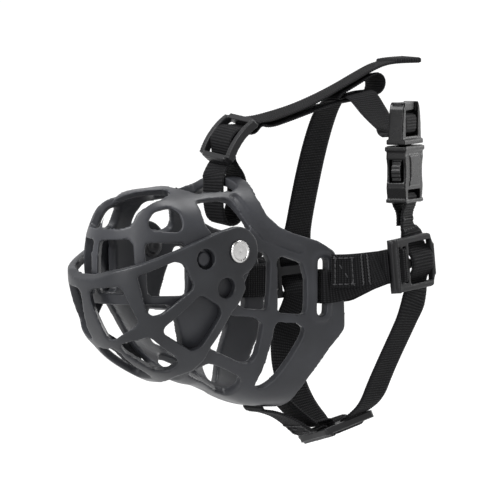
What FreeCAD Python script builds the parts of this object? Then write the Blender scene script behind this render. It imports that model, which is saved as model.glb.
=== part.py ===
import FreeCAD, Part
import math
import os

from FreeCAD import Vector

# Basket muzzle, medium size. Millimetres. -X is the nose, +X the neck, +Z up.
# The origin lies in the middle of the basket, just under the hinge axis of the front guard.

# ---- driving dimensions -------------------------------------------------------------
web_width = 15.0            # harness webbing
web_thickness = 1.5
web_gap = 0.35              # room between webbing and whatever it passes

shell_half_width = 33.0     # outside of the shell at the hinge
shell_wall = 4.0
shell_power = 2.2           # superellipse power of the cross section
shell_low_power = 3.0       # squarer under the jaw, towards the rear
guard_half_width = 37.0
guard_wall = 3.6
guard_power = 2.4
skin_depth = 0.9            # depth of the moulded groove along the rear edge
rear_step = 0.05            # the tube behind the hinge is this much thicker each way

hinge_height = 1.8          # the guard's hinge axis runs along Y at this height
hinge_disc_radius = 11.0
rivet_shank_radius = 2.25
rivet_head_radius = 5.0
rivet_head_height = 1.7
running_clearance = 0.08
washer_thickness = 0.8

detent_radius = 17.1        # from the hinge to the stud and the two holes
detent_angle = 190.0        # where the stud stands, counted from +X towards +Z
swing = 60.0                # how far the guard swings up
detent_hole_radius = 4.4
detent_stud_radius = 3.3

slider_thickness = 3.0
slider_half_width = 14.6
slider_half_height = 12.0
end_bar_height = 4.4        # the slider's left bar stands higher than the plate
slot_x = (-3.2, 12.3)       # the collar webbing's slots
collar_x = 4.55             # the collar webbing's middle
rod_x = (-9.3, -7.3)        # the rod that the side webbing wraps
strap_over = slider_thickness + web_gap + web_thickness / 2    # webbing's middle over a bar
glide_half_width = 11.0
glide_rise = 2.6            # how far the forehead glide arches
glide_bar = 2.0             # half width of its middle bar
glide_bar_top = 2.4

buckle_half_width = 12.0
buckle_half_thickness = 4.5
buckle_lock = 46.8          # height of the joint between the two buckle halves
cavity_half_width = 10.65
cavity_half_thickness = 2.6
prong_x = (7.2, 10.4)       # inner and outer face of a prong
prong_length = 16.8
prong_gap = 0.3

# Outline radius of the shell and the guard in the middle plane, by angle from +X
# towards +Z: 90 is straight up, 180 the nose, 270 straight down.
shell_outline = [(90, 31.9), (105, 31.8), (120, 34.0), (133, 39.3), (145, 46.5),
                 (155, 49.7), (167, 50.6), (180, 52.5), (202, 53.5), (225, 54.5),
                 (250, 55.6), (262, 57.6), (270, 59.2)]
guard_outline = [(150, 57.0), (180, 58.2), (192, 59.5), (205, 60.8), (218, 62.0),
                 (230, 61.5), (242, 60.5), (250, 60.5), (262, 61.0), (290, 62.0)]
# Top and bottom heights of the shell behind the hinge, by X.
shell_top = [(0, 31.9), (9, 33.2), (23, 33.5), (45, 33.0), (70, 32.0)]
shell_bottom = [(0, 59.2), (10, 62.6), (20, 66.6), (30, 69.2), (45, 70.0), (70, 70.2)]


# ---- plain helpers ------------------------------------------------------------------
def smooth(table, x):
    """A smooth curve through the table's points."""
    last = len(table) - 1
    slopes = []
    for i in range(len(table)):
        low = table[max(i - 1, 0)]
        high = table[min(i + 1, last)]
        slopes.append((high[1] - low[1]) / (high[0] - low[0]))
    x = min(max(x, table[0][0]), table[last][0])
    i = 0
    while i < last - 1 and x > table[i + 1][0]:
        i += 1
    step = table[i + 1][0] - table[i][0]
    t = (x - table[i][0]) / step
    return ((2 * t**3 - 3 * t**2 + 1) * table[i][1] + (t**3 - 2 * t**2 + t) * step * slopes[i]
            + (3 * t**2 - 2 * t**3) * table[i + 1][1] + (t**3 - t**2) * step * slopes[i + 1])


def superellipse(long_radius, half_width, power, u):
    """Distance from the middle line and half width at parameter u, from 0 to 90 degrees."""
    s = max(math.sin(math.radians(u)), 0.0)
    c = max(math.cos(math.radians(u)), 0.0)
    return long_radius * s ** (2 / power), half_width * c ** (2 / power)


def curve(points):
    spline = Part.BSplineCurve()
    spline.interpolate(points)
    return spline.toShape()


def fuse(shapes):
    return shapes[0].fuse(shapes[1:]).removeSplitter()


def mirrored(shape):
    return shape.mirror(Vector(0, 0, 0), Vector(0, 1, 0))


def rounded_outline(points, radius):
    """A closed wire in the XY plane through the points, its corners rounded."""
    count = len(points)
    starts = []
    middles = []
    ends = []
    for i in range(count):
        corner = Vector(points[i][0], points[i][1], 0)
        back = Vector(points[i - 1][0], points[i - 1][1], 0) - corner
        ahead = Vector(points[(i + 1) % count][0], points[(i + 1) % count][1], 0) - corner
        half = back.getAngle(ahead) / 2
        run = min(radius / math.tan(half), 0.46 * back.Length, 0.46 * ahead.Length)
        arc_radius = run * math.tan(half)
        back.normalize()
        ahead.normalize()
        inward = (back + ahead).normalize()
        starts.append(corner + back * run)
        ends.append(corner + ahead * run)
        middles.append(corner + inward * (arc_radius / math.sin(half) - arc_radius))
    edges = []
    for i in range(count):
        edges.append(Part.Arc(starts[i], middles[i], ends[i]).toShape())
        gap = (starts[(i + 1) % count] - ends[i]).Length
        if gap > 1e-4:
            edges.append(Part.LineSegment(ends[i], starts[(i + 1) % count]).toShape())
    return Part.Wire(edges)


def view_axes(azimuth, elevation):
    """Right, up and back directions of a plane seen from azimuth and elevation."""
    a = math.radians(azimuth)
    e = math.radians(elevation)
    right = Vector(math.cos(a), math.sin(a), 0)
    up = Vector(-math.sin(a) * math.sin(e), math.cos(a) * math.sin(e), math.cos(e))
    return right, up, right.cross(up)


def placed(shape, origin, right, up, back):
    matrix = FreeCAD.Matrix(right.x, up.x, back.x, origin.x,
                            right.y, up.y, back.y, origin.y,
                            right.z, up.z, back.z, origin.z,
                            0, 0, 0, 1)
    moved = shape.copy()
    moved.Placement = FreeCAD.Placement(matrix).multiply(shape.Placement)
    return moved


def window(azimuth, elevation, points, radius, near, far=130.0):
    """A prism that cuts a window: its outline is drawn square to the view direction."""
    right, up, back = view_axes(azimuth, elevation)
    prism = Part.Face(rounded_outline(points, radius)).extrude(Vector(0, 0, far - near))
    return placed(prism, back * near, right, up, back)


def profile(points, radius):
    """A prism right through the object along Y, from an outline in the XZ plane."""
    return window(0, 0, points, radius, -90.0, 90.0)


# ---- shell and guard ----------------------------------------------------------------
def polar_band(outline, half_width, power, wall, start, stop, step, hole):
    """A wall that is swept round the hinge axis, closed across the nose."""
    wires = []
    count = int(round((stop - start) / step))
    for i in range(count + 1):
        angle = start + (stop - start) * i / count
        out = Vector(math.cos(math.radians(angle)), 0, math.sin(math.radians(angle)))
        radius = smooth(outline, angle)
        rims = []
        for inset in (0.0, wall):
            first = math.degrees(math.asin((hole / (radius - inset)) ** (power / 2)))
            side = []
            for k in range(8):
                u = first + (90.0 - first) * k / 7
                side.append(superellipse(radius - inset, half_width - inset, power, u))
            points = [out * r - Vector(0, y, 0) for r, y in side]
            points += [out * r + Vector(0, y, 0) for r, y in reversed(side[:-1])]
            rims.append(points)
        outer, inner = rims
        edges = [curve(outer), Part.LineSegment(outer[-1], inner[-1]).toShape(),
                 curve(inner[::-1]), Part.LineSegment(inner[0], outer[0]).toShape()]
        wires.append(Part.Wire(edges))
    return Part.makeLoft(wires, True, False)


def ring_solid(inset, stations):
    """The solid inside the shell's cross section behind the hinge."""
    wires = []
    for x in stations:
        low_power = shell_power + (shell_low_power - shell_power) * min(x / 40.0, 1.0)
        top = smooth(shell_top, x) - inset
        low = smooth(shell_bottom, x) - inset
        width = shell_half_width - inset
        side = []
        for k in range(7):
            z, y = superellipse(top, width, shell_power, 90.0 - 15.0 * k)
            side.append((y, z))
        for k in range(1, 8):
            z, y = superellipse(low, width, low_power, 90.0 * k / 7)
            side.append((y, -z))
        right = [Vector(x, y, z) for y, z in side]
        left = [Vector(x, -y, z) for y, z in reversed(side)]
        wires.append(Part.Wire([curve(right), curve(left)]))
    return Part.makeLoft(wires, True, False)


def shell_rear(wall):
    """The open tube behind the hinge, before any window."""
    stations = [0, 12, 24, 38, 54, 70]
    return ring_solid(-rear_step, stations).cut(ring_solid(wall + rear_step, stations))


def hinge_cylinder(radius, low, high):
    """A disc on the hinge axis on both sides, from half width low to high."""
    near = Part.makeCylinder(radius, high - low, Vector(0, -high, hinge_height), Vector(0, 1, 0))
    return [near, mirrored(near)]


def detent_centre(y, turn=0.0):
    """The point of the detent circle at y, turned on from the stud's place."""
    angle = math.radians(detent_angle + turn)
    return Vector(detent_radius * math.cos(angle), y,
                  hinge_height + detent_radius * math.sin(angle))


def both_sides(prisms):
    return prisms + [mirrored(prism) for prism in prisms]


def basket_shell():
    nose = polar_band(shell_outline, shell_half_width, shell_power, shell_wall, 90, 270, 12, 4.0)
    rear = shell_rear(shell_wall)
    pads = hinge_cylinder(8.5, shell_half_width - shell_wall, shell_half_width)
    body = nose.fuse([rear] + pads)

    neck_cut = profile([(24, 60), (22.5, 33), (19.5, 25), (21, 17), (27, 11.5), (34, 8.6),
                        (47.5, 4.8), (55.4, 0.2), (58.6, -5), (61.4, -22), (62.7, -34.6),
                        (60.5, -37.4), (54.9, -43.7), (51, -49.4), (46.4, -56.6),
                        (43.6, -63.4), (42.8, -90), (90, -90), (90, 60)], 4.0)
    jaw_cut = profile([(-90, -21.5), (-29, -21.5), (-24.5, -29), (-19, -41), (-9.5, -56),
                       (-8, -90), (-90, -90)], 3.0)
    body = body.cut([neck_cut, jaw_cut])

    side = [
        window(-50, 35, [(-31, -12.5), (-29.5, -4), (-26.5, 1.2), (-21.5, 4.5), (-12.5, 9.5),
                         (-6.5, 13), (-3, 8), (-5, 2), (-10, -4), (-14, -8), (-15.8, -13.4),
                         (-21, -14.6)], 2.5, 25),
        window(-35, 15, [(-19.5, 4.5), (-16.5, 9.8), (-9.5, 12.2), (-5, 9), (-3.6, 4),
                         (-5, 0.6), (-17, 0.6)], 3.2, 15),
        window(-62, 0, [(-22.2, 6.8), (-7, 7.6), (-4.6, 5), (-3.2, -8), (-4.2, -16.5),
                        (-22.4, -16.5)], 2.0, 25),
        window(-30, 0, [(-24, 6.2), (-6.5, 5.8), (-4.8, 2), (-5.6, -17.5), (-22.6, -17.5)],
               2.5, 15),
        window(0, 25, [(-12, 12.8), (2, 13), (5, 11.2), (11, -3.6), (6, -6), (-10, -5),
                       (-12.8, 0)], 2.2, 8),
        window(0, 0, [(12.5, 0.8), (17.5, 0.8), (20.4, -4), (19.6, -25), (8, -24),
                      (3, -21.5)], 1.8, 8),
        window(0, 0, [(24, -2.2), (28, -1.4), (38, -4.6), (40.4, -12), (40.8, -27.8),
                      (25.2, -26.4)], 2.4, 8),
        window(0, -15, [(-3.5, -18), (13, -19.4), (17.8, -22), (17.2, -36), (15.6, -41),
                        (11, -41), (-6.5, -34)], 2.4, 8),
        window(0, -15, [(24.5, -21.4), (36, -22.3), (40.6, -25), (39.5, -29), (28.7, -49.5),
                        (25, -54), (21, -52.6), (22.6, -38)], 2.6, 8),
        window(0, -50, [(-10.5, -25.5), (-4.5, -16.2), (12.4, -20.2), (14.6, -23), (15.4, -30),
                        (14.6, -36), (10.5, -36.2), (1.5, -30.8)], 2.6, 35),
        window(0, 0, [(46, -2.6), (51.4, -2.6), (51.4, -28.6), (46, -28.6)], 2.4, 8),
    ]
    top_window = window(0, 90, [(-13.5, -8), (-9, -16.5), (9, -19.5), (14.2, -16), (14.2, 16),
                                (9, 19.5), (-9, 16.5), (-13.5, 8)], 3.0, 15)
    chin_slot = window(0, -90, [(32.6, -8.6), (36.4, -8.6), (36.4, 8.6), (32.6, 8.6)], 1.8, 40)
    body = body.cut(both_sides(side) + [top_window, chin_slot])

    groove_line = [(9.5, 27), (12.5, 19), (19, 11), (27, 6.6), (38.5, 3), (40, 0.6),
                   (37.5, -0.8), (26, 2.6), (16.5, 6.5), (8.5, 15), (5.5, 25)]
    groove = shell_rear(skin_depth).common(window(0, 0, groove_line, 1.2, 8))
    body = body.cut([groove, mirrored(groove)])

    # A low bead frames the ear slot.
    bead_outer = [(43.6, -0.4), (53.8, -0.4), (53.8, -30.8), (43.6, -30.8)]
    bead_inner = [(46, -2.6), (51.4, -2.6), (51.4, -28.6), (46, -28.6)]
    bead_space = window(0, 0, bead_outer, 3.5, 8).cut(window(0, 0, bead_inner, 2.4, 7))
    bead = ring_solid(-0.8, [38, 54, 70]).cut(ring_solid(0.5, [38, 54, 70]))
    bead = bead.common(bead_space)

    stud_base = detent_centre(-34.5)
    stud = Part.makeCylinder(detent_stud_radius, 5.0, stud_base, Vector(0, 1, 0))
    dome = Part.makeSphere(7.5, stud_base + Vector(0, 6.6, 0))
    stud = stud.common(dome)
    body = body.fuse([stud, mirrored(stud), bead, mirrored(bead)])
    bores = hinge_cylinder(rivet_shank_radius + running_clearance, 20.0, 40.0)
    washer_seats = hinge_cylinder(5.6, 20.0, shell_half_width - shell_wall)
    return body.cut(bores + washer_seats).removeSplitter()


def front_guard():
    body = polar_band(guard_outline, guard_half_width, guard_power, guard_wall,
                      96, 288, 12, 6.0)
    keep = profile([(4, 12.2), (0, 12.8), (-7.8, 11.3), (-15.6, 8.6), (-21.8, 6.2), (-33.9, 1.5),
                    (-42.6, -1.9), (-54, -6.3), (-58, -10.2), (-80, -13), (-80, -90), (-19, -90),
                    (-19, -54.4), (-13.6, -51.4), (-10.6, -46.2), (-9.6, -40.7), (-6.5, -34.5),
                    (-2.4, -26), (1.8, -21), (6.0, -12), (10.1, -2.5), (10.2, 5)], 2.5)
    discs = hinge_cylinder(hinge_disc_radius, guard_half_width - guard_wall, guard_half_width)
    body = body.common(keep).fuse(discs)

    side = [
        window(-60, 0, [(-25.6, -14.6), (-10, -13), (-8, -15), (-2.8, -28.6), (-4.2, -30.6),
                        (-16, -37.2), (-19.4, -36.6), (-25.2, -20)], 2.4, 30),
        window(-20, 0, [(-35.2, -8.4), (-33.5, -7.6), (-18.6, -2), (-14.6, -3), (-9.4, -12.6),
                        (-10.6, -15), (-24, -25.2), (-28, -26.2), (-31, -23.4)], 2.6, 20),
        window(-10, -15, [(-13.4, -7), (-10.6, -7.8), (-2.6, -12.6), (-1.4, -16), (-9.2, -31),
                          (-13.2, -33.2), (-28, -24.8), (-28.4, -21.6)], 2.8, 20),
        window(-30, -35, [(-34.4, -14), (-31, -10.8), (-22, -6.7), (-9.4, -18.6), (-8.2, -22.8),
                          (-13, -27.6), (-18.4, -27.8), (-31.6, -18.4)], 2.6, 30),
    ]
    under = window(0, -90, [(-45.5, -7), (-24.5, -6), (-24.5, 6), (-45.5, 7)], 3.0, 20)
    body = body.cut(both_sides(side) + [under])

    # Two holes take the stud, and a groove inside the arm lets it pass between them.
    cutters = []
    for step in (0.0, swing):
        cutters.append(Part.makeCylinder(detent_hole_radius, 30, detent_centre(-50, step),
                                         Vector(0, 1, 0)))
    groove_half = detent_stud_radius + 0.5
    groove_depth = 35.1
    ring_end = Vector(0, -groove_depth, hinge_height)
    ring = Part.makeCylinder(detent_radius + groove_half, groove_depth - 25, ring_end,
                             Vector(0, 1, 0))
    ring = ring.cut(Part.makeCylinder(detent_radius - groove_half, groove_depth, ring_end,
                                      Vector(0, 1, 0)))
    reach = 40.0
    low = math.radians(detent_angle)
    high = math.radians(detent_angle + swing)
    middle = (low + high) / 2
    corners = [(0, hinge_height)]
    for angle, share in ((low, 1.0), (middle, 1.4), (high, 1.0)):
        corners.append((share * reach * math.cos(angle),
                        hinge_height + share * reach * math.sin(angle)))
    wedge = profile(corners, 0.01)
    cutters.append(ring.common(wedge))
    body = body.cut(both_sides(cutters))
    bores = hinge_cylinder(rivet_shank_radius + running_clearance, 20.0, 45.0)
    return body.cut(bores).removeSplitter()


# ---- hinge rivets -------------------------------------------------------------------
def on_hinge(radius, start, stop):
    """A disc on the hinge axis between two Y places."""
    return Part.makeCylinder(radius, stop - start, Vector(0, start, hinge_height),
                             Vector(0, 1, 0))


def rivet(side):
    """Domed head outside the guard, shank through both walls, flared tail inside."""
    face = guard_half_width + 0.12
    inside = shell_half_width - shell_wall - 0.1 - washer_thickness
    top = face + rivet_head_height
    shank = on_hinge(rivet_shank_radius, -face - 0.8, 1.8 - inside)
    head = on_hinge(rivet_head_radius, -top, -face)
    rim = on_hinge(rivet_head_radius - 1.1, -top, 0.5 - top)
    tail = on_hinge(3.6, 0.05 - inside, 1.25 - inside)
    body = fuse([head.cut(rim), shank, tail])
    return body if side == "left" else mirrored(body)


def washer(side):
    outer = shell_half_width - shell_wall - 0.05
    inner = outer - washer_thickness
    body = on_hinge(5.0, -outer, -inner)
    body = body.cut(on_hinge(rivet_shank_radius + running_clearance, -outer, -inner))
    return body if side == "left" else mirrored(body)


# ---- webbing ------------------------------------------------------------------------
def frame_at(centre, along, across):
    """A local frame: x along, y across, z the outward normal x cross y."""
    x = Vector(*along).normalize()
    y = Vector(*across)
    y = (y - x * y.dot(x)).normalize()
    return {"centre": Vector(*centre), "x": x, "y": y, "z": x.cross(y)}


def at(frame, x, y, z):
    return frame["centre"] + frame["x"] * x + frame["y"] * y + frame["z"] * z


def in_frame(shape, frame):
    return placed(shape, frame["centre"], frame["x"], frame["y"], frame["z"])


def ribbon(stations, closed=False):
    """Flat webbing through (point, width direction) stations, with mitred turns."""
    rings = []
    last = len(stations) - 1
    for i in range(last + 1):
        point, across = stations[i]
        before = point - stations[i - 1][0]
        after = stations[(i + 1) % (last + 1)][0] - point
        if i == 0 and not closed:
            before = after
        if i == last and not closed:
            after = before
        before = Vector(before).normalize()
        after = Vector(after).normalize()
        along = (before + after).normalize()
        wide = (across - along * across.dot(along)).normalize()
        stretch = min(1.0 / max(along.dot(before), 0.4), 1.6)
        normal = along.cross(wide) * (stretch * web_thickness / 2)
        half = wide * (web_width / 2)
        rings.append([point + half + normal, point - half + normal,
                      point - half - normal, point + half - normal])
    pairs = list(zip(rings, rings[1:]))
    faces = []
    if closed:
        pairs.append((rings[last], rings[0]))
    else:
        faces += quad_faces(*rings[0]) + quad_faces(*rings[last][::-1])
    for near_ring, far_ring in pairs:
        for k in range(4):
            n = (k + 1) % 4
            faces += quad_faces(near_ring[n], near_ring[k], far_ring[k], far_ring[n])
    solid = Part.Solid(Part.makeShell(faces))
    if solid.Volume < 0:
        solid.reverse()
    return solid


def quad_faces(a, b, c, d):
    """Two triangles in place of a four-sided patch that need not be flat."""
    pair = []
    for corners in ((a, b, c), (a, c, d)):
        pair.append(Part.Face(Part.makePolygon(list(corners) + [corners[0]])))
    return pair


def weave(frame, x_side, middle, slope, length):
    """Stations of webbing that passes behind a slider's end bars and over its middle bar."""
    across = frame["x"]
    low = -web_thickness / 2 - web_gap
    rows = [(length, low), (slope, low), (middle, strap_over), (-middle, strap_over),
            (-slope, low), (-length, low)]
    return [(at(frame, x_side, y, z), across) for y, z in rows]


def blend_stations(start, stop, count, bulge=Vector(0, 0, 0)):
    """Extra stations between two, with an outward bulge."""
    rows = []
    for i in range(1, count + 1):
        t = i / (count + 1)
        point = start[0] * (1 - t) + stop[0] * t + bulge * (4 * t * (1 - t))
        across = (start[1] * (1 - t) + stop[1] * t).normalize()
        rows.append((point, across))
    return rows


# ---- sliders ------------------------------------------------------------------------
def box(low, high):
    size = [high[i] - low[i] for i in range(3)]
    return Part.makeBox(size[0], size[1], size[2], Vector(*low))


def cross_slider(frame):
    """Square slider: a rod for one strap on the left, a three-bar glide on the right."""
    t = slider_thickness
    w = slider_half_width
    h = slider_half_height
    plate = Part.Face(rounded_outline([(-w, -h), (w - 2.5, -h), (w, -h + 6), (w, h - 6),
                                       (w - 2.5, h), (-w, h)], 2.0)).extrude(Vector(0, 0, t))
    corners = [(-w, 0), (-w + 0.3, 1.2), (-12.4, end_bar_height), (-11.6, end_bar_height),
               (-11.6, 0)]
    profile_wire = Part.makePolygon([Vector(x, -h, z) for x, z in corners + corners[:1]])
    end_bar = Part.Face(profile_wire).extrude(Vector(0, 2 * h, 0))
    holes = [box((-11.6, -8.2, -1), (rod_x[0], 8.2, t + 1)),
             box((rod_x[1], -8.2, -1), (-5.0, 8.2, t + 1)),
             box((slot_x[0], 2.0, -1), (slot_x[1], 9.2, t + 1)),
             box((slot_x[0], -9.2, -1), (slot_x[1], -2.0, t + 1))]
    return in_frame(plate.cut(holes).fuse(end_bar).removeSplitter(), frame)


def arched_prism(half_width, half_length, low, high, rise):
    """A slab along Y whose top and bottom arch outward by rise."""
    edges = [Part.Arc(Vector(0, -half_length, low), Vector(0, 0, low + rise),
                      Vector(0, half_length, low)).toShape(),
             Part.LineSegment(Vector(0, half_length, low), Vector(0, half_length, high)).toShape(),
             Part.Arc(Vector(0, half_length, high), Vector(0, 0, high + rise),
                      Vector(0, -half_length, high)).toShape(),
             Part.LineSegment(Vector(0, -half_length, high),
                              Vector(0, -half_length, low)).toShape()]
    slab = Part.Face(Part.Wire(edges)).extrude(Vector(2 * half_width, 0, 0))
    slab.translate(Vector(-half_width, 0, 0))
    return slab


def glide(frame):
    """Arched three-bar glide of the forehead strap, its middle bar set low."""
    w = glide_half_width
    h = slider_half_height
    outline = [(-w, -9.5), (-w + 4, -h), (w - 4, -h), (w, -9.5), (w, 9.5), (w - 4, h), (-w + 4, h),
               (-w, 9.5)]
    blank = Part.Face(rounded_outline(outline, 3.0)).extrude(Vector(0, 0, 12))
    blank.translate(Vector(0, 0, -4))
    body = arched_prism(w, h, -1.0, 2.2, glide_rise).common(blank)
    holes = [box((-8.2, glide_bar, -5), (8.2, 9.7, 9)), box((-8.2, -9.7, -5), (8.2, -glide_bar, 9)),
             box((-8.2, -glide_bar - 1, glide_bar_top), (8.2, glide_bar + 1, 9))]
    return in_frame(body.cut(holes), frame)


near_slider = frame_at((89.0, -43.6, -5.7), (0.97, 0.24, 0.1), (-0.1, 0, 1))
far_slider = frame_at((87.0, 45.5, -13.0), (0.97, -0.24, 0.1), (-0.1, 0, -1))
chin_slider = frame_at((81.5, 0.6, -79.0), (0.96, 0, 0.28), (0, -0.97, 0.22))
head_glide = frame_at((22.6, 0, 49.0), (0, -1, -0.1), (0.62, 0, 0.785))
buckle = frame_at((90.0, -38.8, buckle_lock), (0.83, 0.56, 0), (0, 0, 1))


def rod_wrap(frame):
    """Webbing round a slider's rod: in behind the left bar, over the rod, back out."""
    half = web_thickness / 2
    left = rod_x[0] - web_gap - half
    right = rod_x[1] + web_gap + half
    top = slider_thickness + web_gap + half
    front_layer = -web_gap - half
    back_layer = front_layer - web_thickness - 0.3
    rows = [(-18.0, front_layer), (left, front_layer), (left, top), (right, top),
            (right, back_layer), (-15.5, back_layer - 1.2)]
    return [(at(frame, x, 0, z), frame["y"]) for x, z in rows]


def side_strap(frame, side):
    """Closed loop of webbing from the ear slot to the rod of the side slider."""
    sign = -1 if side == "left" else 1
    up = Vector(0, 0, 1)
    wrap = rod_wrap(frame)
    if side == "right":
        wrap = [(point, across * -1) for point, across in wrap]
    z = -15.6
    y_out = shell_half_width + 0.8 + web_gap + web_thickness / 2
    y_in = shell_half_width - shell_wall - web_gap - web_thickness / 2 - 1.7
    ear = [(Vector(54.5, sign * (y_out + 0.6), z), up), (Vector(48.8, sign * y_out, z), up),
           (Vector(48.8, sign * y_in, z), up), (Vector(54, sign * y_in, z), up),
           (Vector(64.2, sign * (y_in + 0.5), z), up)]
    lead = blend_stations(ear[0], wrap[0], 1)
    tail = blend_stations(wrap[-1], ear[-1], 1, Vector(-2.5, sign * 1.0, 0))
    return ribbon(ear + tail[::-1] + wrap[::-1] + lead[::-1], closed=True)


def forehead_strap():
    """Keeper loop at the crown, glide, loop round the shell's bridge, glide, free tail."""
    keeper = [(77.0, 66.0), (78.8, 68.0), (81.6, 69.2), (86, 71.2), (91, 73.6), (95.5, 75.8),
              (99.3, 76.8), (102.0, 75.2), (102.7, 71.9), (100.8, 68.4), (96.5, 67.0),
              (91, 66.0), (86, 65.2), (81.5, 64.6), (77, 64.1), (70, 62.9), (60, 60.4),
              (50, 57.9), (40, 55.6)]
    bridge = [(20.5, 37.4), (25.2, 34.4), (26.2, 28), (25.6, 20), (22.6, 13.8), (18.6, 12.0),
              (14.6, 13.6), (12.5, 19), (12.3, 27), (12.4, 32.8)]
    tail = [(40, 58.3), (50, 60.6), (60, 63.3), (70, 66.9), (78, 70.2), (86, 73.6), (92, 76.4),
            (98, 79.0), (104, 81.2), (111, 82.2), (122.5, 82.4)]
    half = web_thickness / 2
    low = -1.0 - web_gap - half
    under = low - web_thickness - 0.3
    over = glide_bar_top + web_gap + half
    second_over = over + web_thickness + 0.3
    first = [(13, under), (8.0, under), (2.6, over), (-2.6, over), (-7.5, under + 0.6),
             (-12.5, under)]
    second = [(-14.5, low), (-9.2, low + 0.3), (-3.2, second_over), (3.2, second_over),
              (9.0, low), (13, low)]

    def rolled(points):
        """Across directions that raise the near edge a little towards the crown."""
        rows = []
        for x, z in points:
            roll = smooth([(10, -0.1), (40, -0.1), (60, 0.0), (80, 0.12), (97, 0.13),
                           (110, 0.02), (123, -0.02)], x)
            rows.append((Vector(x, 0, z), Vector(0, -1, roll)))
        return rows

    stations = rolled(keeper)
    stations += [(at(head_glide, 0, y, z), head_glide["x"]) for y, z in first]
    stations += rolled(bridge)
    stations += [(at(head_glide, 0, y, z), head_glide["x"]) for y, z in second]
    stations += rolled(tail)
    return ribbon(stations)


def chin_strap():
    """Closed loop from the slot under the jaw to the rod of the chin slider."""
    across = Vector(0, -1, 0)
    outline = [(52, -75.6), (42, -72.4), (36, -71.9), (34.5, -70.3), (34.5, -63.4), (38, -63.0),
               (45.4, -63.8), (52, -69.6)]
    jaw = [(Vector(x, 0, z), across) for x, z in outline]
    wrap = rod_wrap(chin_slider)
    return ribbon(jaw[::-1] + wrap, closed=True)


def collar_near():
    """From the sewn loop on the female buckle through the near slider to the chin."""
    across = buckle["x"]
    rows = [(-36.0, -1.0), (-29.8, -1.0), (-26.4, -3.3), (-21.6, -3.3), (-21.6, 2.75),
            (-26.4, 2.75), (-29.8, 1.0), (-36.0, 0.9)]
    stations = [(at(buckle, 0, y, z), across) for y, z in rows]
    stations += weave(near_slider, collar_x, 2.5, 8.3, 13.0)
    throat = [(91.5, -41.5, -27.0), (90.0, -37.0, -36.0), (88.5, -31.0, -46.5),
              (87.5, -24.0, -58.0), (86.6, -18.6, -68.5)]
    stations += [(Vector(*point), Vector(0.97, 0.1, 0.2)) for point in throat]
    stations += weave(chin_slider, collar_x, 2.5, 8.3, 12.0)[:3]
    stations.append((at(chin_slider, collar_x, 0, strap_over), chin_slider["x"]))
    return ribbon(stations)


def collar_far():
    """From the chin through the far slider, up the far side and over the crown."""
    stations = [(at(chin_slider, collar_x, 0, strap_over), chin_slider["x"])]
    stations += weave(chin_slider, collar_x, 2.5, 8.3, 12.0)[3:]
    rise = [(85.6, 22.0, -81.0), (83.0, 32.0, -71.0), (82.0, 40.0, -56.0), (85.5, 45.0, -40.0)]
    stations += [(Vector(*point), Vector(0.97, -0.1, 0.15)) for point in rise]
    stations += weave(far_slider, collar_x, 2.5, 8.3, 13.0)
    crown = [(89.0, 40.5, 6.0), (88.0, 35.0, 20.0), (87.5, 27.0, 41.0), (87.2, 19.0, 57.0),
             (87.3, 13.0, 64.4), (87.5, 7.5, 67.2), (87.6, -5.0, 68.4)]
    stations += [(Vector(*point), Vector(1, 0, 0.2)) for point in crown]
    return ribbon(stations)


def collar_upper():
    """From the crown down to the ladder of the male buckle."""
    rows = [(3.6, -6.8), (5.8, -3.0), (5.8, 2.6), (13.4, 2.6), (13.4, -4.8)]
    crown = [(87.6, -5.6, 68.45, 0.0), (87.6, -9.6, 68.2, 0.0), (87.7, -13.2, 65.6, 0.05),
             (87.8, -17.5, 61.8, 0.15), (87.6, -23.0, 57.6, 0.35)]
    stations = [(Vector(x, y, z), Vector(1, turn, 0.2)) for x, y, z, turn in crown]
    stations += [(at(buckle, 0, y, z), buckle["x"]) for y, z in rows]
    return ribbon(stations)


# ---- side release buckle ------------------------------------------------------------
def buckle_female():
    half = buckle_half_width
    thick = buckle_half_thickness
    outline = [(-half, -0.2), (half, -0.2), (half, -6), (half - 1, -9.5), (half - 1, -14),
               (half, -19), (half - 1.6, -25.8), (-half + 1.6, -25.8), (-half, -19),
               (-half + 1, -14), (-half + 1, -9.5), (-half, -6)]
    body = Part.Face(rounded_outline(outline, 1.5)).extrude(Vector(0, 0, 2 * thick))
    body.translate(Vector(0, 0, -thick))
    holes = [box((-cavity_half_width, -18.2, -cavity_half_thickness),
                 (cavity_half_width, 1, cavity_half_thickness)),
             box((-14, -16.4, -3.2), (-7, -6.4, 3.2)),
             box((7, -16.4, -3.2), (14, -6.4, 3.2)),
             box((-8.1, -23.4, -6), (8.1, -19.8, 6)),
             box((-8.1, -26, 1.6), (8.1, -21, 6)),
             box((-8.1, -26, -6), (8.1, -21, -2.2))]
    return in_frame(body.cut(holes), buckle)


def buckle_male():
    half = buckle_half_width
    outline = [(-half, 0.2), (half, 0.2), (half - 0.4, 12), (half - 2.5, 19.2),
               (-half + 2.5, 19.2), (-half + 0.4, 12)]
    body = Part.Face(rounded_outline(outline, 1.6)).extrude(Vector(0, 0, 6.6))
    body.translate(Vector(0, 0, -3.3))
    holes = [box((-8.1, 4.0, -5), (8.1, 7.6, 5)), box((-8.1, 11.6, -5), (8.1, 15.2, 5)),
             box((-8.1, 7.0, 1.5), (8.1, 12.0, 5)), box((-8.1, 7.0, -5), (8.1, 12.0, -1.5))]
    tongue = box((-3.0, -15.0, -2.0), (3.0, 0.5, 2.0))
    return in_frame(body.cut(holes).fuse(tongue).removeSplitter(), buckle)


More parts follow.
